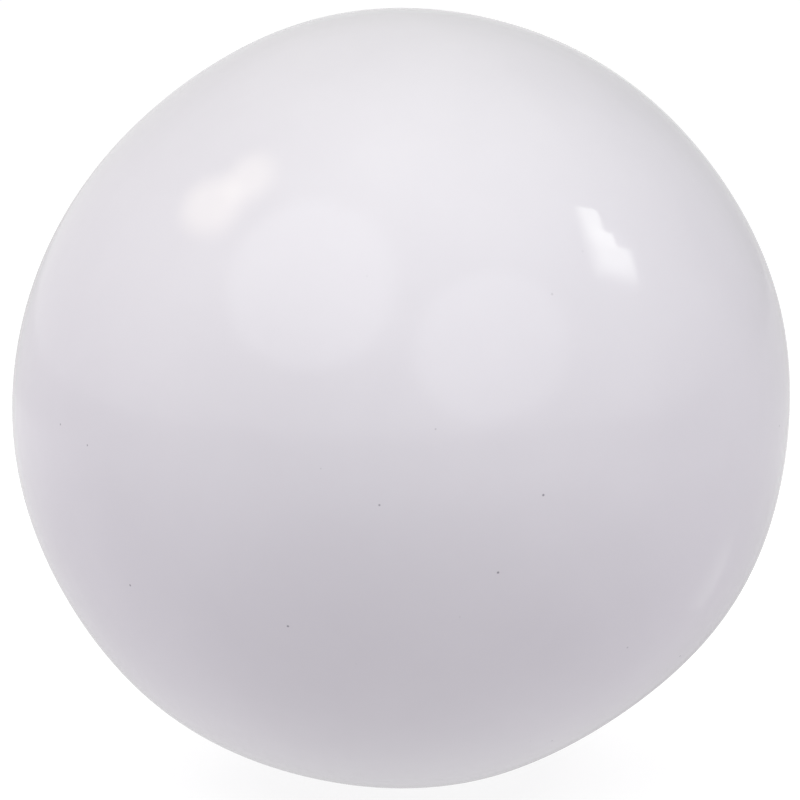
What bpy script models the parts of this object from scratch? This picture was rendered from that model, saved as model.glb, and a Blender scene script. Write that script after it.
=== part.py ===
"""Exercise ball: a hollow moulded skin, its valve bush and its push-in plug.

Metres, +Z up. The origin is the middle of the small flat that the ball rests on.
The valve looks along +Y, level with the ball's centre. The valve pieces are turned
about the valve's own axis: height 0 there is the ball's true surface, and heights
above 0 are outside the ball.
"""

import math

import bmesh
import bpy

# Ball: the flat is what the skin's weight presses out against its air pressure.
BALL_DIAMETER = 0.650
SKIN_THICKNESS = 0.0008
CONTACT_RADIUS = 0.036
CONTACT_BLEND_RADIUS = 0.120

# Gap that is left wherever two pieces seat on each other.
SEAT_CLEARANCE = 0.0003

# Plug: a crowned head, a hollow stem and barbs that grip the bore.
PLUG_HEAD_RADIUS = 0.0070
PLUG_HEAD_THICKNESS = 0.0020
PLUG_HEAD_CROWN = 0.0005
PLUG_HEAD_EDGE = 0.0005
PLUG_STEM_RADIUS = 0.0035
PLUG_STEM_WALL = 0.0017
PLUG_STEM_LEAD = 0.0020
PLUG_SOLID_LENGTH = 0.0050
PLUG_TIP_LENGTH = 0.0036
PLUG_TIP_TAPER = 0.0006
BARB_COUNT = 4
BARB_LENGTH = 0.0028
BARB_GAP = 0.0008
BARB_HEIGHT = 0.0005

# Bush: a collar outside, a flange inside, and a neck that holds the plug's stem.
RECESS_FLARE = 0.0012
COLLAR_RIM = 0.0035
COLLAR_THICKNESS = 0.0016
COLLAR_EDGE = 0.0005
BODY_WALL = 0.0022
FLANGE_OVERHANG = 0.0045
FLANGE_THICKNESS = 0.0020
FLANGE_EDGE = 0.0006
NECK_WALL = 0.0027
NECK_LENGTH = 0.0190
NECK_TAPER = 0.0008
BORE_LEAD_IN = 0.0005

# Pad: the skin's own thick spot round the valve.
PAD_PROUD = 0.0004
PAD_LEDGE = 0.0025
PAD_SEAT_BORDER = 0.0040
PAD_SLOPE_WIDTH = 0.0140
PAD_RIM_STEP = 0.0018

# Facets
BALL_SEGMENTS = 64
BALL_UPPER_STEPS = 16
BALL_LOWER_STEPS = 14
CONTACT_BLEND_STEPS = 2
VALVE_SEGMENTS = 48
CAP_STEPS = 3
CUT_OVERRUN = 0.0050
MERGE_DISTANCE = 1e-6
SHARP_ANGLE = math.radians(30)

# Colours are linear.
SKIN_COLOUR = (0.72, 0.70, 0.75)
BUSH_COLOUR = (0.60, 0.58, 0.64)
PLUG_COLOUR = (0.82, 0.81, 0.83)
SKIN_ROUGHNESS = 0.38
BUSH_ROUGHNESS = 0.50
PLUG_ROUGHNESS = 0.42

# Sizes that follow from those above, from the ball in towards its flat.
BALL_RADIUS = BALL_DIAMETER / 2
CONTACT_REACH = BALL_RADIUS - CONTACT_BLEND_RADIUS
CENTRE_HEIGHT = CONTACT_BLEND_RADIUS + math.sqrt(CONTACT_REACH**2 - CONTACT_RADIUS**2)
CONTACT_ANGLE = math.asin(CONTACT_RADIUS / CONTACT_REACH)

# Radii of the valve, from the plug outwards.
BARB_RADIUS = PLUG_STEM_RADIUS + BARB_HEIGHT
BORE_RADIUS = BARB_RADIUS + SEAT_CLEARANCE
RECESS_RADIUS = PLUG_HEAD_RADIUS + SEAT_CLEARANCE
RECESS_MOUTH_RADIUS = RECESS_RADIUS + RECESS_FLARE
NECK_RADIUS = BORE_RADIUS + NECK_WALL
BODY_RADIUS = max(RECESS_RADIUS + BODY_WALL, NECK_RADIUS)
COLLAR_RADIUS = max(RECESS_MOUTH_RADIUS, BODY_RADIUS) + COLLAR_RIM
FLANGE_RADIUS = BODY_RADIUS + FLANGE_OVERHANG
PAD_SEAT_RADIUS = max(FLANGE_RADIUS, COLLAR_RADIUS) + PAD_SEAT_BORDER
PAD_RADIUS = PAD_SEAT_RADIUS + PAD_SLOPE_WIDTH


def pad_height(radius):
    """Height of the pad's domed outer face at a distance from the valve's axis."""
    return math.sqrt((BALL_RADIUS + PAD_PROUD) ** 2 - radius**2) - BALL_RADIUS


# Heights of the valve, from the outside in.
COLLAR_TOP = pad_height(COLLAR_RADIUS)
COLLAR_FLOOR = COLLAR_TOP - COLLAR_THICKNESS
HEAD_FLOOR = COLLAR_TOP - PLUG_HEAD_THICKNESS
RECESS_FLOOR = HEAD_FLOOR - SEAT_CLEARANCE
PAD_SEAT = COLLAR_FLOOR - SEAT_CLEARANCE
PAD_FLOOR = PAD_SEAT - PAD_LEDGE
FLANGE_TOP = PAD_FLOOR - SEAT_CLEARANCE
FLANGE_FLOOR = FLANGE_TOP - FLANGE_THICKNESS
NECK_END = FLANGE_FLOOR - NECK_LENGTH
BARB_PITCH = BARB_LENGTH + BARB_GAP
STEM_END = HEAD_FLOOR - PLUG_STEM_LEAD - BARB_COUNT * BARB_PITCH - PLUG_TIP_LENGTH


def arc(centre, radius, start, end, steps):
    """(radius, height) points on an arc, with angles counted from straight up, outwards."""
    angles = [start + (end - start) * step / steps for step in range(steps + 1)]
    return [
        (centre[0] + radius * math.sin(angle), centre[1] + radius * math.cos(angle))
        for angle in angles
    ]


def ball_profile():
    """Outer half outline of the ball, from its top down to the middle of its flat."""
    centre = (0.0, CENTRE_HEIGHT)
    equator = math.pi / 2
    blend_start = math.pi - CONTACT_ANGLE
    upper = arc(centre, BALL_RADIUS, 0.0, equator, BALL_UPPER_STEPS)
    lower = arc(centre, BALL_RADIUS, equator, blend_start, BALL_LOWER_STEPS)
    blend_centre = (CONTACT_RADIUS, CONTACT_BLEND_RADIUS)
    blend = arc(blend_centre, CONTACT_BLEND_RADIUS, blend_start, math.pi, CONTACT_BLEND_STEPS)
    return upper + lower[1:] + blend[1:] + [(0.0, 0.0)]


def pad_profile():
    """Half outline of the pad: domed outside, flat inside where the bush's flange lies."""
    dome_radius = BALL_RADIUS + PAD_PROUD
    rim_angle = math.asin(PAD_RADIUS / dome_radius)
    dome = arc((0.0, -BALL_RADIUS), dome_radius, 0.0, rim_angle, CAP_STEPS)
    rim_floor = pad_height(PAD_RADIUS) - SKIN_THICKNESS - PAD_RIM_STEP
    return dome + [(PAD_RADIUS, rim_floor), (PAD_SEAT_RADIUS, PAD_FLOOR), (0.0, PAD_FLOOR)]


def seat_profile():
    """Half outline of the stepped hole through the pad, which the bush sits in."""
    counterbore = COLLAR_RADIUS + SEAT_CLEARANCE
    hole = BODY_RADIUS + SEAT_CLEARANCE
    above = COLLAR_TOP + CUT_OVERRUN
    below = PAD_FLOOR - CUT_OVERRUN
    return [
        (0.0, above),
        (counterbore, above),
        (counterbore, PAD_SEAT),
        (hole, PAD_SEAT),
        (hole, below),
        (0.0, below),
    ]


def bush_profile():
    """Closed half outline of the bush: down its outside, then up its bore and recess."""
    return [
        (RECESS_MOUTH_RADIUS, COLLAR_TOP),
        (COLLAR_RADIUS - COLLAR_EDGE, COLLAR_TOP),
        (COLLAR_RADIUS, COLLAR_TOP - COLLAR_EDGE),
        (COLLAR_RADIUS, COLLAR_FLOOR),
        (BODY_RADIUS, COLLAR_FLOOR),
        (BODY_RADIUS, FLANGE_TOP),
        (FLANGE_RADIUS, FLANGE_TOP),
        (FLANGE_RADIUS, FLANGE_FLOOR + FLANGE_EDGE),
        (FLANGE_RADIUS - FLANGE_EDGE, FLANGE_FLOOR),
        (NECK_RADIUS, FLANGE_FLOOR),
        (NECK_RADIUS - NECK_TAPER, NECK_END),
        (BORE_RADIUS, NECK_END),
        (BORE_RADIUS, RECESS_FLOOR - BORE_LEAD_IN),
        (BORE_RADIUS + BORE_LEAD_IN, RECESS_FLOOR),
        (RECESS_RADIUS, RECESS_FLOOR),
    ]


def plug_profile():
    """Half outline of the plug: its crown, rim and barbs, then up the hollow of its stem."""
    crown_radius = PLUG_HEAD_RADIUS - PLUG_HEAD_EDGE
    dome_radius = (crown_radius**2 + PLUG_HEAD_CROWN**2) / (2 * PLUG_HEAD_CROWN)
    dome_centre = (0.0, COLLAR_TOP + PLUG_HEAD_CROWN - dome_radius)
    crown = arc(dome_centre, dome_radius, 0.0, math.asin(crown_radius / dome_radius), CAP_STEPS)
    rim = [
        (PLUG_HEAD_RADIUS, COLLAR_TOP - PLUG_HEAD_EDGE),
        (PLUG_HEAD_RADIUS, HEAD_FLOOR),
        (PLUG_STEM_RADIUS, HEAD_FLOOR),
    ]
    barbs = []
    for number in range(BARB_COUNT):
        top = HEAD_FLOOR - PLUG_STEM_LEAD - number * BARB_PITCH
        barbs += [
            (PLUG_STEM_RADIUS, top),
            (BARB_RADIUS, top),
            (PLUG_STEM_RADIUS, top - BARB_LENGTH),
        ]
    hollow_radius = PLUG_STEM_RADIUS - PLUG_STEM_WALL
    hollow_top = HEAD_FLOOR - PLUG_SOLID_LENGTH
    tip = [
        (PLUG_STEM_RADIUS, STEM_END + PLUG_TIP_LENGTH),
        (PLUG_STEM_RADIUS - PLUG_TIP_TAPER, STEM_END),
        (hollow_radius, STEM_END),
        (hollow_radius, hollow_top),
        (0.0, hollow_top),
    ]
    return crown + rim + barbs + tip


def turn(name, profile, segments, closed=False):
    """Revolve (radius, height) points about Z into a closed mesh that faces outwards."""
    shape = bmesh.new()
    points = [shape.verts.new((radius, 0.0, height)) for radius, height in profile]
    following = points[1:] + points[:1] if closed else points[1:]
    edges = [shape.edges.new(pair) for pair in zip(points, following)]
    bmesh.ops.spin(
        shape,
        geom=points + edges,
        cent=(0.0, 0.0, 0.0),
        axis=(0.0, 0.0, 1.0),
        angle=math.tau,
        steps=segments,
        use_merge=True,
    )
    bmesh.ops.remove_doubles(shape, verts=shape.verts, dist=MERGE_DISTANCE)
    bmesh.ops.recalc_face_normals(shape, faces=shape.faces)
    mesh = bpy.data.meshes.new(name)
    shape.to_mesh(mesh)
    shape.free()
    mesh.shade_smooth()
    mesh.set_sharp_from_angle(angle=SHARP_ANGLE)
    piece = bpy.data.objects.new(name, mesh)
    bpy.context.scene.collection.objects.link(piece)
    return piece


def plastic(name, colour, roughness):
    """A plain plastic material."""
    material = bpy.data.materials.new(name)
    material.use_nodes = True
    shader = material.node_tree.nodes["Principled BSDF"]
    shader.inputs["Base Color"].default_value = (*colour, 1.0)
    shader.inputs["Roughness"].default_value = roughness
    shader.inputs["Metallic"].default_value = 0.0
    return material


def make_valve_frame():
    """An empty on the valve's axis: its own +Z looks out of the ball, along +Y."""
    frame = bpy.data.objects.new("valve_frame", None)
    frame.location = (0.0, BALL_RADIUS, CENTRE_HEIGHT)
    frame.rotation_euler = (-math.pi / 2, 0.0, 0.0)
    bpy.context.scene.collection.objects.link(frame)
    return frame


def shape_with(piece, operation, tool):
    """Join a hidden tool shape to a piece, or cut it out of the piece."""
    tool.hide_render = True
    tool.display_type = "WIRE"
    boolean = piece.modifiers.new(tool.name, "BOOLEAN")
    boolean.operation = operation
    boolean.object = tool


def make_ball_skin(frame):
    """The one-piece skin: a thin hollow ball with a thick pad where the valve goes through."""
    skin = turn("ball_skin", ball_profile(), BALL_SEGMENTS)
    wall = skin.modifiers.new("wall", "SOLIDIFY")
    wall.thickness = SKIN_THICKNESS
    wall.offset = -1.0
    wall.use_even_offset = True
    pad = turn("valve_pad", pad_profile(), VALVE_SEGMENTS)
    seat = turn("valve_seat", seat_profile(), VALVE_SEGMENTS)
    pad.parent = frame
    seat.parent = frame
    shape_with(skin, "UNION", pad)
    shape_with(skin, "DIFFERENCE", seat)
    skin.data.materials.append(plastic("soft_vinyl", SKIN_COLOUR, SKIN_ROUGHNESS))


def make_valve_bush(frame):
    """The bush that lines the valve hole, held by its collar and its inner flange."""
    bush = turn("valve_bush", bush_profile(), VALVE_SEGMENTS, closed=True)
    bush.parent = frame
    bush.data.materials.append(plastic("valve_rubber", BUSH_COLOUR, BUSH_ROUGHNESS))


def make_valve_plug(frame):
    """The plug that closes the bore. It is pulled straight out along the valve's axis."""
    plug = turn("valve_plug", plug_profile(), VALVE_SEGMENTS)
    plug.parent = frame
    plug.data.materials.append(plastic("plug_plastic", PLUG_COLOUR, PLUG_ROUGHNESS))


def main():
    for old in list(bpy.data.objects):
        bpy.data.objects.remove(old, do_unlink=True)
    frame = make_valve_frame()
    make_ball_skin(frame)
    make_valve_bush(frame)
    make_valve_plug(frame)


main()
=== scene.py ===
"""Looks of the exercise ball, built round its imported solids.

Metres, +Z up, in the solids' own frame. The photograph's camera looks along +Y and a
little down, and the ball's valve is on the far side. The turned pieces share the valve's
axis, which runs along +Y through the ball's centre.
"""

import math

import bmesh
import bpy
import numpy as np
from mathutils import Matrix, Vector


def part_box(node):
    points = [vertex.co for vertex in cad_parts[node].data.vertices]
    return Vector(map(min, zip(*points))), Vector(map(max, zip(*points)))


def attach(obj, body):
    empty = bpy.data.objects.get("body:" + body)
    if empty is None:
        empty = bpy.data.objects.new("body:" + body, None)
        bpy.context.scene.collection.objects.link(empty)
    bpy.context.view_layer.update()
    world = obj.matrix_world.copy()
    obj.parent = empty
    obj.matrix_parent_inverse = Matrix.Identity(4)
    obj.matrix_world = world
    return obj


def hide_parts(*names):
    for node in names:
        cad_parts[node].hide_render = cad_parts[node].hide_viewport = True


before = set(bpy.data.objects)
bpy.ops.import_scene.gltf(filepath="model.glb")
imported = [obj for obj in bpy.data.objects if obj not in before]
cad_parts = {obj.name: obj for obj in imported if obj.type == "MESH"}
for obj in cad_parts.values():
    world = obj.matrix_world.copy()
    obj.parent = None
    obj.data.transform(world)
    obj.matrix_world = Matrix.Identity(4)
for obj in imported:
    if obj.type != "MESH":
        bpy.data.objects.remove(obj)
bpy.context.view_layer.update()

# Where the ball lies in the photograph's square frame, in pixels from its top left corner
FRAME_SIDE = 800
BALL_CENTRE_PX = (402.0, 399.6)
BALL_RADIUS_PX = 388.6

# Camera
CAMERA_DISTANCE = 2.6
CAMERA_ELEVATION = math.radians(10)
SENSOR_WIDTH = 36.0
VIEW_RIGHT = Vector((1.0, 0.0, 0.0))
VIEW_UP = Vector((0.0, math.sin(CAMERA_ELEVATION), math.cos(CAMERA_ELEVATION)))
VIEW_BACK = Vector((0.0, -math.cos(CAMERA_ELEVATION), math.sin(CAMERA_ELEVATION)))

# Ball, from the solids
SKIN_LOW, SKIN_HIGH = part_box("ball_skin")
BALL_RADIUS = (SKIN_HIGH.x - SKIN_LOW.x) / 2
CENTRE = Vector((0.0, 0.0, SKIN_HIGH.z - BALL_RADIUS))
SKIN_THICKNESS = 0.0008
CONTACT_RADIUS = 0.036
CONTACT_BLEND_RADIUS = 0.120
STEEPEST_COSINE = 0.5

# The photographed ball is a little out of round, mostly longer from lower left to upper right.
# Each wave of its outline: how many to the turn, share of the radius, and angle of a crest.
# The waves fade out by the angle from straight down, so that the ball rests flat.
OUTLINE_WAVES = (
    (2, 0.0068, math.radians(48)),
    (3, 0.0040, math.radians(-29)),
    (4, 0.0036, math.radians(-7)),
    (5, 0.0016, math.radians(33)),
    (6, 0.0014, math.radians(-23)),
    (7, 0.0014, math.radians(21)),
    (8, 0.0021, math.radians(12)),
)
WAVES_NONE_ANGLE = math.radians(8)
WAVES_FULL_ANGLE = math.radians(26)

# Mould seam, midway between the valve and the front
SEAM_HEIGHT = 0.00012
SEAM_WIDTH = 0.0006
SEAM_REACH = 0.0024

# Valve pad, moulded with the skin, and the hole through it
GAP = 0.0003
PAD_RADIUS = 0.0320
PAD_PROUD = 0.0004
PAD_RIM_WIDTH = 0.0016
PAD_RIM_DEPTH = 0.0026
PAD_SEAT_RADIUS = 0.0180
PAD_LEDGE = 0.0025

# Bush
BUSH_LOW, BUSH_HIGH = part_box("valve_bush")
COLLAR_TOP = BUSH_HIGH.y
COLLAR_RADIUS = 0.0130
COLLAR_THICKNESS = 0.0016
BODY_RADIUS = 0.0095
FLANGE_RADIUS = BUSH_HIGH.x
FLANGE_THICKNESS = 0.0020
NECK_RADIUS = 0.0070
NECK_TAPER = 0.0008
BORE_RADIUS = 0.0043
RECESS_FLARE = 0.0012
BUSH_FILLET = 0.0004

# Plug
PLUG_LOW, PLUG_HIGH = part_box("valve_plug")
HEAD_RADIUS = PLUG_HIGH.x
HEAD_THICKNESS = 0.0020
CROWN_RADIUS = HEAD_RADIUS * 0.6
CROWN_DROP = 0.00018
GATE_RADIUS = 0.0011
GATE_DEPTH = 0.00025
STEM_RADIUS = 0.0035
STEM_WALL = 0.0017
STEM_LEAD = 0.0020
STEM_SOLID = 0.0050
TIP_TAPER = 0.0006
BARB_COUNT = 4
BARB_LENGTH = 0.0028
BARB_GAP = 0.0008
BARB_HEIGHT = 0.0005
PLUG_FILLET = 0.0003

# Mesh fineness
SKIN_SEGMENTS = 192
SKIN_RINGS = 120
INSIDE_RINGS = 60
SEAM_RINGS = 12
RIM_RINGS = 8
VALVE_SEGMENTS = 96
FILLET_STEPS = 4
FILLET_SHARE = 1 / 2.1

# Patterns: the range that a noise mostly keeps to, its detail, and how far a grain tells
NOISE_LOW = 0.3
NOISE_HIGH = 0.7
NOISE_DETAIL = 3.0
GRAIN_STRENGTH = 0.2

# A Mix node has sockets for every kind of value: these are the numbers of those for colours
MIX_SHARE = 0
MIX_FIRST = 6
MIX_SECOND = 7
MIX_RESULT = 2

# Materials: scales are waves to the metre, and grain heights are metres
VINYL_DARK = (0.738, 0.710, 0.776, 1.0)
VINYL_PALE = (0.764, 0.736, 0.802, 1.0)
VINYL_CLOUD_SCALE = 8.0
VINYL_GLOSS_SCALE = 30.0
VINYL_ROUGHNESS = (0.03, 0.05)
VINYL_GRAIN_SCALE = 700.0
VINYL_GRAIN_HEIGHT = 0.000004
VINYL_SHEEN = 0.15
VINYL_SHEEN_ROUGHNESS = 0.40

DUST_COLOUR = (0.30, 0.28, 0.34, 1.0)
DUST_SCALE = 29.0
DUST_SPECK = (0.015, 0.036)
DUST_SHARE_LOW = 1.0
DUST_SHARE_HIGH = 0.15
DUST_HEIGHTS = (0.30, 0.48)

RUBBER_DARK = (0.56, 0.54, 0.60, 1.0)
RUBBER_PALE = (0.63, 0.61, 0.67, 1.0)
RUBBER_CLOUD_SCALE = 160.0
RUBBER_GLOSS_SCALE = 420.0
RUBBER_ROUGHNESS = (0.42, 0.56)
RUBBER_GRAIN_SCALE = 2200.0
RUBBER_GRAIN_HEIGHT = 0.00006

PLUG_DARK = (0.80, 0.79, 0.81, 1.0)
PLUG_PALE = (0.85, 0.84, 0.86, 1.0)
PLUG_CLOUD_SCALE = 260.0
PLUG_SCUFF_SCALE = 500.0
PLUG_SCUFF_DETAIL = 5.0
PLUG_ROUGHNESS = (0.30, 0.46)
PLUG_GRAIN_SCALE = 3000.0
PLUG_GRAIN_HEIGHT = 0.00003

# Colours of the light
WHITE = (1.0, 1.0, 1.0, 1.0)
COOL_LIGHT = (0.981, 0.981, 1.0)
MILD_LIGHT = (0.960, 1.0, 0.910)
WARM_LIGHT = (1.0, 0.91, 0.72)

# Floor: what the camera sees, the light that it gives the ball, and what the ball mirrors of
# it. A strength of 1 is white. Reaches are metres from the ball, or along a direction.
FLOOR_SIDE = 80.0
FLOOR_COLOUR = (0.20, 0.20, 0.20, 1.0)
# Near the ball the camera sees the floor below white: a painted shade round the ball, on top of
# its real shadow.
FLOOR_WHITE_NEAR_PAINTED_SHADE = 0.80
FLOOR_WHITE_FAR = 1.0
FLOOR_WHITE_REACH = (0.12, 0.45)
FLOOR_GLOW_FRONT = 0.513
FLOOR_GLOW_BEHIND = 0.9
FLOOR_TURN = (-0.42, 0.02)
FLOOR_TURN_WAY = (0.06, 1.0, 0.0)
FLOOR_GLOW_NEAR_COLOUR = (1.04, 1.05, 1.015, 1.0)
FLOOR_GLOW_FAR_COLOUR = (1.0, 0.962, 0.995, 1.0)
FLOOR_GLOW_REACH = (0.20, 0.50)
FLOOR_MIRRORED_LEFT = 0.51
FLOOR_MIRRORED_RIGHT = 0.38
FLOOR_MIRRORED_SIDES = (-0.3, 0.3)
FLOOR_MIRRORED_FAR = 0.65
FLOOR_MIRRORED_REACH = (0.4, 1.4)

# Studio walls: the light that they give, and what the ball mirrors of them by direction
AMBIENT = 0.1
WALL_WHITE = 1.0
MIRRORED_FRONT = 1.0
MIRRORED_BEHIND = 0.64
MIRRORED_TURN = (-0.3, 0.5)
MIRRORED_HORIZON = 0.82
MIRRORED_RISE = (0.0, 0.36)
MIRRORED_RIGHT = 0.52
MIRRORED_SIDE = (0.1, 0.45)

# Lamps that show in the ball: the pixel of their reflection's middle or held point, their sides
# across and along the line of view, the share of each side that is a soft edge, and watts.
# The three panes are turned in their plane, and are held by a point on their edge, from -1 to
# 1 along each side. An edge through that point stays sharp. The strip stands low, close to the
# ball.
LAMP_DISTANCE = 2.2
EDGE_LAYERS = 3
LAYER_STEP = 0.01
PANE = {"shape": "RECTANGLE", "colour": MILD_LIGHT}
WINDOW = {"colour": WARM_LIGHT}
UMBRELLA = {"edges": (0.07, 0.07)}
STRIP = {"distance": 0.52, "roll": math.radians(14), "colour": MILD_LIGHT}
REFLECTED_LAMPS = {
    "pane_top": {
        "shows_at": (598, 212), "sides": (0.222, 0.22), "edges": (0, 0.2), "power": 0.46,
        "roll": math.radians(-40), "held_at": (1, -1), **PANE,
    },
    "pane_middle": {
        "shows_at": (613, 234.5), "sides": (0.130, 0.31), "edges": (0, 0.2), "power": 0.42,
        "roll": math.radians(-34), "held_at": (1, -1), **PANE,
    },
    "pane_low": {
        "shows_at": (618, 248), "sides": (0.27, 0.46), "edges": (0.25, 0.2), "power": 1.03,
        "roll": math.radians(-31), "held_at": (1, -0.36), **PANE,
    },
    "pane_glow": {
        "shows_at": (615, 258), "sides": (0.55, 0.52), "edges": (0.3, 0.3),
        "power": 0.42,
    },
    "window_low": {
        "shows_at": (206, 204), "sides": (0.46, 0.75), "edges": (0.25, 0.25),
        "power": 1.6, **WINDOW,
    },
    "window_high": {
        "shows_at": (245, 176), "sides": (0.40, 0.56), "edges": (0.3, 0.3),
        "power": 0.95, **WINDOW,
    },
    "window_joint": {
        "shows_at": (232, 197), "sides": (0.36, 0.40), "edges": (0.4, 0.4),
        "power": 0.14, **WINDOW,
    },
    "umbrella_left": {"shows_at": (307, 281), "sides": (1.72, 1.95), "power": 6.9, **UMBRELLA},
    "umbrella_right": {"shows_at": (494, 347), "sides": (1.50, 1.74), "power": 5.6, **UMBRELLA},
    "strip_low": {
        "shows_at": (711, 582), "sides": (0.15, 0.07), "edges": (0.3, 0.5),
        "power": 0.0075, **STRIP,
    },
}

# Lamps that only light: direction from the ball as (right, up, towards the camera), and watts
FILL_SIDE = 1.6
FILL_LAMPS = {
    "fill_top": {"towards": (0.0, 0.75, 0.65), "power": 22.9, "colour": MILD_LIGHT},
    "fill_left": {"towards": (-0.75, 0.45, 0.5), "power": 5.2},
    "fill_right": {"towards": (0.75, 0.45, 0.5), "power": 8.6},
    "side_left": {"towards": (-1.0, 0.05, 0.1), "power": 7.8},
    "side_right": {"towards": (1.0, 0.0, 0.1), "power": 1.4},
    "back_left": {"towards": (-0.75, 0.5, -0.6), "power": 12.0},
    "back_right": {"towards": (0.75, 0.5, -0.6), "power": 3.6},
    "back_top": {"towards": (0.0, 0.6, -0.8), "power": 7.0},
}


def smooth_step(low, high, values):
    """0 below low, 1 above high, and a smooth rise between them."""
    share = np.clip((values - low) / (high - low), 0.0, 1.0)
    return share * share * (3.0 - 2.0 * share)


def resting_radius(down):
    """The settled ball's radius by the angle from straight down: flat, round shoulder, ball."""
    rise = CENTRE.z - CONTACT_BLEND_RADIUS
    reach = CONTACT_RADIUS * np.sin(down) + rise * np.cos(down)
    offset = CONTACT_RADIUS**2 + rise**2 - CONTACT_BLEND_RADIUS**2
    shoulder = reach + np.sqrt(np.maximum(reach**2 - offset, 0.0))
    flat = CENTRE.z / np.maximum(np.cos(down), STEEPEST_COSINE)
    flat_end = math.atan(CONTACT_RADIUS / CENTRE.z)
    shoulder_end = math.asin(CONTACT_RADIUS / (BALL_RADIUS - CONTACT_BLEND_RADIUS))
    rounded_off = np.where(down < shoulder_end, shoulder, BALL_RADIUS)
    return np.where(down < flat_end, flat, rounded_off)


def settled(points):
    """Points of a true ball moved to where the resting, slightly uneven ball has them."""
    offsets = points - np.array(CENTRE)
    ways = offsets / np.linalg.norm(offsets, axis=1)[:, None]
    down = np.arccos(np.clip(-ways[:, 2], -1.0, 1.0))
    in_view = ways @ np.array(VIEW_RIGHT) + 1j * (ways @ np.array(VIEW_UP))
    uneven = sum(
        share * ((in_view * np.exp(-1j * crest)) ** count).real
        for count, share, crest in OUTLINE_WAVES
    )
    uneven *= smooth_step(WAVES_NONE_ANGLE, WAVES_FULL_ANGLE, down)
    scale = resting_radius(down) / BALL_RADIUS * (1.0 + uneven)
    moved = np.array(CENTRE) + offsets * scale[:, None]
    moved[:, 2] = np.maximum(moved[:, 2], 0.0)
    return moved


def turn(name, profile, segments, closed=False, shape=None):
    """A mesh object: (radius, depth along +Y) points turned about the valve's axis."""
    angles = np.arange(segments) * math.tau / segments
    points = []
    rings = []
    for radius, depth in profile:
        turned = [(0.0, depth, CENTRE.z)]
        if radius > 0.0:
            turned = [
                (radius * math.cos(angle), depth, CENTRE.z + radius * math.sin(angle))
                for angle in angles
            ]
        rings.append(range(len(points), len(points) + len(turned)))
        points += turned
    faces = []
    following = rings[1:] + rings[:1] if closed else rings[1:]
    for first, second in zip(rings, following):
        for side in range(segments):
            after = (side + 1) % segments
            face = [first[side % len(first)], first[after % len(first)]]
            face += [second[after % len(second)], second[side % len(second)]]
            faces.append(list(dict.fromkeys(face)))
    if shape:
        points = shape(np.array(points))
    mesh = bpy.data.meshes.new(name)
    mesh.from_pydata([tuple(point) for point in points], [], faces)
    solid = bmesh.new()
    solid.from_mesh(mesh)
    bmesh.ops.recalc_face_normals(solid, faces=solid.faces)
    solid.to_mesh(mesh)
    solid.free()
    mesh.shade_smooth()
    piece = bpy.data.objects.new(name, mesh)
    bpy.context.scene.collection.objects.link(piece)
    return piece


def rounded(profile, fillet, closed=False):
    """The same outline with its corners rounded off, as far as their sides allow."""
    points = [Vector(point) for point in profile]
    result = []
    for number, corner in enumerate(points):
        if not closed and number in (0, len(points) - 1):
            result.append(tuple(corner))
            continue
        before = points[number - 1] - corner
        after = points[(number + 1) % len(points)] - corner
        start = before.normalized() * min(fillet, before.length * FILLET_SHARE)
        end = after.normalized() * min(fillet, after.length * FILLET_SHARE)
        for step in range(FILLET_STEPS + 1):
            share = step / FILLET_STEPS
            result.append(tuple(corner + start * (1 - share) ** 2 + end * share**2))
    return result


def outer_radius(angle):
    """Distance from the ball's centre to its outside, by the angle from the valve's axis."""
    along = BALL_RADIUS * angle
    pad = PAD_PROUD * (1.0 - smooth_step(PAD_RADIUS - PAD_RIM_WIDTH, PAD_RADIUS, along))
    from_seam = (along - BALL_RADIUS * math.pi / 2) / SEAM_WIDTH
    return BALL_RADIUS + pad + SEAM_HEIGHT * np.exp(-(from_seam**2))


def skin_profile():
    """The skin's closed outline: its outside from the front to the valve, then its inside."""
    hole = math.asin((COLLAR_RADIUS + GAP) / (BALL_RADIUS + PAD_PROUD))
    seam = math.pi / 2 + np.linspace(-SEAM_REACH, SEAM_REACH, SEAM_RINGS + 1) / BALL_RADIUS
    rim = (PAD_RADIUS - np.linspace(0.0, PAD_RIM_WIDTH, RIM_RINGS + 1)) / BALL_RADIUS
    plain = np.linspace(hole, math.pi, SKIN_RINGS + 1)
    near_seam = (plain > seam[0]) & (plain < seam[-1])
    near_rim = (plain > rim[-1]) & (plain < rim[0])
    angles = np.sort(np.concatenate([plain[~near_seam & ~near_rim], seam, rim]))[::-1]
    outside = [
        (outer_radius(angle) * math.sin(angle), outer_radius(angle) * math.cos(angle))
        for angle in angles
    ]
    outside[0] = (0.0, -BALL_RADIUS)
    seat = COLLAR_TOP - COLLAR_THICKNESS - GAP
    floor = seat - PAD_LEDGE
    rim_floor = math.sqrt((BALL_RADIUS + PAD_PROUD) ** 2 - PAD_RADIUS**2) - PAD_RIM_DEPTH
    valve = [
        (COLLAR_RADIUS + GAP, seat),
        (BODY_RADIUS + GAP, seat),
        (BODY_RADIUS + GAP, floor),
        (PAD_SEAT_RADIUS, floor),
        (PAD_RADIUS, rim_floor),
    ]
    inner_radius = BALL_RADIUS - SKIN_THICKNESS
    inner_start = math.asin(PAD_RADIUS / inner_radius)
    inside = [
        (inner_radius * math.sin(angle), inner_radius * math.cos(angle))
        for angle in np.linspace(inner_start, math.pi, INSIDE_RINGS + 1)
    ]
    inside[-1] = (0.0, -inner_radius)
    return outside[:-1] + rounded(outside[-2:] + valve + inside[:1], GAP)[1:-1] + inside


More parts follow.
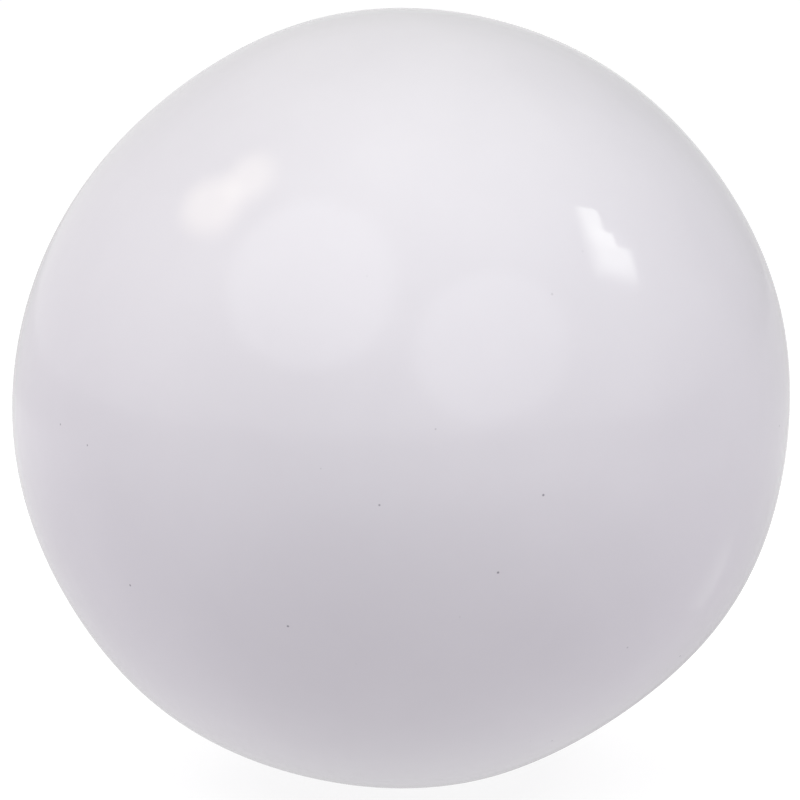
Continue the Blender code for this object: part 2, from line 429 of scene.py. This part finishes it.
def bush_profile():
    """The bush's closed outline: down its outside, then up its bore and recess."""
    collar_floor = COLLAR_TOP - COLLAR_THICKNESS
    flange_top = collar_floor - GAP - PAD_LEDGE - GAP
    flange_floor = flange_top - FLANGE_THICKNESS
    recess_floor = COLLAR_TOP - HEAD_THICKNESS - GAP
    recess_radius = HEAD_RADIUS + GAP
    outline = [
        (recess_radius + RECESS_FLARE, COLLAR_TOP),
        (COLLAR_RADIUS, COLLAR_TOP),
        (COLLAR_RADIUS, collar_floor),
        (BODY_RADIUS, collar_floor),
        (BODY_RADIUS, flange_top),
        (FLANGE_RADIUS, flange_top),
        (FLANGE_RADIUS, flange_floor),
        (NECK_RADIUS, flange_floor),
        (NECK_RADIUS - NECK_TAPER, BUSH_LOW.y),
        (BORE_RADIUS, BUSH_LOW.y),
        (BORE_RADIUS, recess_floor),
        (recess_radius, recess_floor),
    ]
    return rounded(outline, BUSH_FILLET, closed=True)


def plug_profile():
    """The plug's outline: crowned head with its moulding dimple, barbs, and hollow stem."""
    head_floor = COLLAR_TOP - HEAD_THICKNESS
    head = [
        (0.0, PLUG_HIGH.y - GATE_DEPTH),
        (GATE_RADIUS / 2, PLUG_HIGH.y - GATE_DEPTH),
        (GATE_RADIUS, PLUG_HIGH.y),
        (CROWN_RADIUS, PLUG_HIGH.y - CROWN_DROP),
        (HEAD_RADIUS, COLLAR_TOP - PLUG_FILLET / 2),
        (HEAD_RADIUS, head_floor),
        (STEM_RADIUS, head_floor),
    ]
    barbs = []
    for number in range(BARB_COUNT):
        top = head_floor - STEM_LEAD - number * (BARB_LENGTH + BARB_GAP)
        barbs += [
            (STEM_RADIUS, top),
            (STEM_RADIUS + BARB_HEIGHT, top),
            (STEM_RADIUS, top - BARB_LENGTH),
        ]
    tip_top = barbs[-1][1] - BARB_GAP
    hollow = STEM_RADIUS - STEM_WALL
    tip = [
        (STEM_RADIUS, tip_top),
        (STEM_RADIUS - TIP_TAPER, PLUG_LOW.y),
        (hollow, PLUG_LOW.y),
        (hollow, head_floor - STEM_SOLID),
        (0.0, head_floor - STEM_SOLID),
    ]
    return rounded(head + barbs + tip, PLUG_FILLET)


def feed(tree, socket, value):
    """Sets an input to a plain value, or links another node's output to it."""
    if isinstance(value, bpy.types.NodeSocket):
        tree.links.new(value, socket)
    else:
        socket.default_value = value


def add_node(tree, kind, inputs, **settings):
    """A new node with these settings, its inputs set or linked."""
    node = tree.nodes.new(kind)
    for name, value in settings.items():
        setattr(node, name, value)
    for key, value in inputs.items():
        feed(tree, node.inputs[key], value)
    return node


def noise(tree, place, scale, detail=NOISE_DETAIL):
    """A grey noise pattern, with so many waves to the metre."""
    inputs = {"Vector": place, "Scale": scale, "Detail": detail}
    return add_node(tree, "ShaderNodeTexNoise", inputs).outputs["Fac"]


def mapped(tree, value, low, high, start=NOISE_LOW, end=NOISE_HIGH):
    """A pattern's range from start to end spread from low to high."""
    inputs = {"Value": value, "From Min": start, "From Max": end, "To Min": low, "To Max": high}
    return add_node(tree, "ShaderNodeMapRange", inputs).outputs["Result"]


def blended(tree, share, first, second):
    """Two colours, plain or patterned, mixed by a pattern."""
    inputs = {MIX_SHARE: share, MIX_FIRST: first, MIX_SECOND: second}
    return add_node(tree, "ShaderNodeMix", inputs, data_type="RGBA").outputs[MIX_RESULT]


def combined(tree, operation, first, second):
    """Two values put together, such as by MAXIMUM or MULTIPLY."""
    return add_node(tree, "ShaderNodeMath", {0: first, 1: second}, operation=operation).outputs[0]


def axes_of(tree, place):
    """A place's X, Y and Z outputs."""
    return add_node(tree, "ShaderNodeSeparateXYZ", {0: place}).outputs


def new_material(name):
    """A material, its node tree and the place on its object in metres."""
    material = bpy.data.materials.new(name)
    material.use_nodes = True
    tree = material.node_tree
    return material, tree, add_node(tree, "ShaderNodeTexCoord", {}).outputs["Object"]


def set_shader(tree, **values):
    """Sets or links the shader's inputs; an underscore stands for a space."""
    shader = tree.nodes["Principled BSDF"]
    for name, value in values.items():
        feed(tree, shader.inputs[name.replace("_", " ")], value)


def cloudy(tree, place, scale, dark, pale):
    """A colour that drifts between two shades."""
    clouds = mapped(tree, noise(tree, place, scale), 0.0, 1.0)
    return blended(tree, clouds, dark, pale)


def grain(tree, place, scale, height):
    """A fine moulded grain, so high in metres."""
    inputs = {
        "Height": noise(tree, place, scale),
        "Strength": GRAIN_STRENGTH,
        "Distance": height,
    }
    return add_node(tree, "ShaderNodeBump", inputs).outputs["Normal"]


def dusty(tree, place, tint):
    """A colour with specks of dust, fewer of them higher up."""
    cells = add_node(tree, "ShaderNodeTexVoronoi", {"Vector": place, "Scale": DUST_SCALE})
    specks = mapped(tree, cells.outputs["Distance"], 1.0, 0.0, *DUST_SPECK)
    height = axes_of(tree, place)["Z"]
    share = mapped(tree, height, DUST_SHARE_LOW, DUST_SHARE_HIGH, *DUST_HEIGHTS)
    return blended(tree, combined(tree, "MULTIPLY", specks, share), tint, DUST_COLOUR)


def vinyl_material():
    """Milky lavender vinyl: faint clouds, dust specks, high gloss and a fine moulded grain."""
    material, tree, place = new_material("soft_vinyl")
    tint = cloudy(tree, place, VINYL_CLOUD_SCALE, VINYL_DARK, VINYL_PALE)
    set_shader(
        tree,
        Base_Color=dusty(tree, place, tint),
        Roughness=mapped(tree, noise(tree, place, VINYL_GLOSS_SCALE), *VINYL_ROUGHNESS),
        Normal=grain(tree, place, VINYL_GRAIN_SCALE, VINYL_GRAIN_HEIGHT),
        Sheen_Weight=VINYL_SHEEN,
        Sheen_Roughness=VINYL_SHEEN_ROUGHNESS,
    )
    return material


def rubber_material():
    """Soft matt rubber of the bush."""
    material, tree, place = new_material("valve_rubber")
    set_shader(
        tree,
        Base_Color=cloudy(tree, place, RUBBER_CLOUD_SCALE, RUBBER_DARK, RUBBER_PALE),
        Roughness=mapped(tree, noise(tree, place, RUBBER_GLOSS_SCALE), *RUBBER_ROUGHNESS),
        Normal=grain(tree, place, RUBBER_GRAIN_SCALE, RUBBER_GRAIN_HEIGHT),
    )
    return material


def plug_material():
    """White moulded plastic of the plug, a little scuffed."""
    material, tree, place = new_material("plug_plastic")
    scuffs = noise(tree, place, PLUG_SCUFF_SCALE, PLUG_SCUFF_DETAIL)
    set_shader(
        tree,
        Base_Color=cloudy(tree, place, PLUG_CLOUD_SCALE, PLUG_DARK, PLUG_PALE),
        Roughness=mapped(tree, scuffs, *PLUG_ROUGHNESS),
        Normal=grain(tree, place, PLUG_GRAIN_SCALE, PLUG_GRAIN_HEIGHT),
    )
    return material


def dress(piece, material, body, node):
    """Gives a piece its material and the body that it rides on, and hides the solid it stands for.
    """
    piece.data.materials.append(material)
    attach(piece, body)
    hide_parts(node)


def ray_kinds(tree):
    """Whether a ray is the camera's, and whether it is mirrored or goes through something."""
    rays = add_node(tree, "ShaderNodeLightPath", {}).outputs
    mirrored_ray = combined(tree, "MAXIMUM", rays["Is Glossy Ray"], rays["Is Transmission Ray"])
    return rays["Is Camera Ray"], mirrored_ray


def by_ray(tree, camera_ray, mirrored_ray, lighting, mirrored_level, shown):
    """One level for light on the pieces, one for what they mirror and one for the camera."""
    level = mapped(tree, mirrored_ray, lighting, mirrored_level, 0.0, 1.0)
    return mapped(tree, camera_ray, level, shown, 0.0, 1.0)


def floor_lighting(tree, place):
    """The strength of the light from the floor: more behind the ball than in front of it."""
    inputs = {0: place, 1: FLOOR_TURN_WAY}
    along = add_node(tree, "ShaderNodeVectorMath", inputs, operation="DOT_PRODUCT")
    return mapped(
        tree, along.outputs["Value"], FLOOR_GLOW_FRONT, FLOOR_GLOW_BEHIND, *FLOOR_TURN
    )


def floor_mirrored(tree, place, distance):
    """How bright the ball mirrors the floor: near it by the side, and further off alike."""
    near = mapped(
        tree,
        axes_of(tree, place)["X"],
        FLOOR_MIRRORED_LEFT,
        FLOOR_MIRRORED_RIGHT,
        *FLOOR_MIRRORED_SIDES,
    )
    return mapped(tree, distance, near, FLOOR_MIRRORED_FAR, *FLOOR_MIRRORED_REACH)


def make_floor():
    """A pale floor that runs out past the view and keeps the ball's shadow, with a painted shade
    round the ball.
    """
    bpy.ops.mesh.primitive_plane_add(size=FLOOR_SIDE)
    floor = bpy.context.object
    floor.name = "floor"
    material, tree, place = new_material("floor")
    from_ball = add_node(tree, "ShaderNodeVectorMath", {0: place}, operation="LENGTH")
    distance = from_ball.outputs["Value"]
    # Painted shade: to the camera the floor is dimmer near the ball and white further off.
    white = mapped(tree, distance, FLOOR_WHITE_NEAR_PAINTED_SHADE, FLOOR_WHITE_FAR, *FLOOR_WHITE_REACH)
    lighting = floor_lighting(tree, place)
    mirrored_level = floor_mirrored(tree, place, distance)
    camera_ray, mirrored_ray = ray_kinds(tree)
    glow = by_ray(tree, camera_ray, mirrored_ray, lighting, mirrored_level, white)
    away = mapped(tree, distance, 0.0, 1.0, *FLOOR_GLOW_REACH)
    unseen = blended(tree, away, FLOOR_GLOW_NEAR_COLOUR, FLOOR_GLOW_FAR_COLOUR)
    seen = combined(tree, "MAXIMUM", camera_ray, mirrored_ray)
    set_shader(
        tree,
        Base_Color=FLOOR_COLOUR,
        Roughness=1.0,
        Specular_IOR_Level=0.0,
        Emission_Color=blended(tree, seen, unseen, WHITE),
        Emission_Strength=glow,
    )
    floor.data.materials.append(material)


def make_world():
    """White to the camera, pale to reflections, and a little light from all round."""
    world = bpy.data.worlds.new("studio")
    bpy.context.scene.world = world
    world.use_nodes = True
    tree = world.node_tree
    axes = axes_of(tree, add_node(tree, "ShaderNodeTexCoord", {}).outputs["Generated"])
    rising = mapped(tree, axes["Z"], MIRRORED_HORIZON, MIRRORED_BEHIND, *MIRRORED_RISE)
    behind = mapped(tree, axes["X"], rising, MIRRORED_RIGHT, *MIRRORED_SIDE)
    mirrored_level = mapped(tree, axes["Y"], MIRRORED_FRONT, behind, *MIRRORED_TURN)
    strength = by_ray(tree, *ray_kinds(tree), AMBIENT, mirrored_level, WALL_WHITE)
    background = tree.nodes["Background"]
    feed(tree, background.inputs["Color"], WHITE)
    feed(tree, background.inputs["Strength"], strength)


def camera_place():
    """Where the photograph's camera stands."""
    return CENTRE + VIEW_BACK * CAMERA_DISTANCE


def focal_px():
    """The camera's focal length in pixels: the ball's outline is as large as in the photograph."""
    return BALL_RADIUS_PX / math.tan(math.asin(BALL_RADIUS / CAMERA_DISTANCE))


def leave_ball(start, way, radius):
    """Where a ray from inside leaves a sphere round the ball's centre."""
    offset = start - CENTRE
    along = offset.dot(way)
    return start + way * (math.sqrt(along**2 - offset.length_squared + radius**2) - along)


def mirrored(pixel, distance):
    """Direction from the ball's centre to a lamp, so far off, that shows at a pixel."""
    right = (pixel[0] - BALL_CENTRE_PX[0]) / focal_px()
    up = (BALL_CENTRE_PX[1] - pixel[1]) / focal_px()
    way = (VIEW_RIGHT * right + VIEW_UP * up - VIEW_BACK).normalized()
    offset = camera_place() - CENTRE
    along = offset.dot(way)
    depth = -along - math.sqrt(along**2 - offset.length_squared + BALL_RADIUS**2)
    touch = camera_place() + way * depth
    bounced = way.reflect((touch - CENTRE).normalized())
    return (leave_ball(touch, bounced, distance) - CENTRE).normalized()


def make_lamp(
    name,
    way,
    sides,
    power,
    distance=LAMP_DISTANCE,
    colour=COOL_LIGHT,
    shape="ELLIPSE",
    roll=0.0,
    held_at=(0, 0),
):
    """A flat soft lamp, square to the ball, with its middle or held point in that direction."""
    lamp = bpy.data.lights.new(name, "AREA")
    lamp.shape = shape
    lamp.size, lamp.size_y = sides
    lamp.energy = power
    lamp.color = colour
    holder = bpy.data.objects.new(name, lamp)
    across = VIEW_BACK.cross(way).normalized()
    turned = Matrix((across, way.cross(across), way)).transposed().to_4x4()
    shift = Vector((-held_at[0] * sides[0] / 2, -held_at[1] * sides[1] / 2, 0.0))
    placed = Matrix.Translation(CENTRE + way * distance) @ turned
    holder.matrix_world = placed @ Matrix.Rotation(roll, 4, "Z") @ Matrix.Translation(shift)
    holder.visible_camera = False
    bpy.context.scene.collection.objects.link(holder)
    return holder


def make_reflected_lamp(name, shows_at, sides, edges, power, distance=LAMP_DISTANCE, **kind):
    """A lamp that shows in the ball: layers of growing size give it a soft edge."""
    way = mirrored(shows_at, distance)
    for layer in range(EDGE_LAYERS):
        share = 2.0 * layer / (EDGE_LAYERS - 1) - 1.0
        scales = [1.0 + edge * share for edge in edges]
        layer_sides = [side * scale for side, scale in zip(sides, scales)]
        layer_power = power * math.prod(scales) / EDGE_LAYERS
        layer_distance = distance + layer * LAYER_STEP
        make_lamp(f"{name}_{layer}", way, layer_sides, layer_power, layer_distance, **kind)


def make_fill_lamp(name, towards, power, colour=COOL_LIGHT):
    """A broad lamp that lights the ball and the floor but isn't mirrored in them."""
    right, up, back = towards
    way = (VIEW_RIGHT * right + VIEW_UP * up + VIEW_BACK * back).normalized()
    sides = (FILL_SIDE, FILL_SIDE)
    holder = make_lamp(name, way, sides, power, colour=colour, shape="RECTANGLE")
    holder.visible_glossy = False


def make_camera():
    """The photograph's camera: the ball's outline falls where it does in the photograph."""
    camera = bpy.data.objects.new("camera", bpy.data.cameras.new("camera"))
    camera.data.sensor_width = SENSOR_WIDTH
    camera.data.lens = focal_px() * SENSOR_WIDTH / FRAME_SIDE
    camera.data.shift_x = (FRAME_SIDE / 2 - BALL_CENTRE_PX[0]) / FRAME_SIDE
    camera.data.shift_y = (BALL_CENTRE_PX[1] - FRAME_SIDE / 2) / FRAME_SIDE
    turned = Matrix((VIEW_RIGHT, VIEW_UP, VIEW_BACK)).transposed().to_4x4()
    camera.matrix_world = Matrix.Translation(camera_place()) @ turned
    bpy.context.scene.collection.objects.link(camera)
    bpy.context.scene.camera = camera


make_camera()
make_world()
make_floor()
for lamp_name, lamp_values in REFLECTED_LAMPS.items():
    make_reflected_lamp(lamp_name, **lamp_values)
for lamp_name, lamp_values in FILL_LAMPS.items():
    make_fill_lamp(lamp_name, **lamp_values)

skin = turn("skin", skin_profile(), SKIN_SEGMENTS, shape=settled)
bush = turn("bush", bush_profile(), VALVE_SEGMENTS, closed=True)
plug = turn("plug", plug_profile(), VALVE_SEGMENTS)
dress(skin, vinyl_material(), "ball", "ball_skin")
dress(bush, rubber_material(), "ball", "valve_bush")
dress(plug, plug_material(), "plug", "valve_plug")

bpy.context.scene.view_settings.view_transform = "Standard"
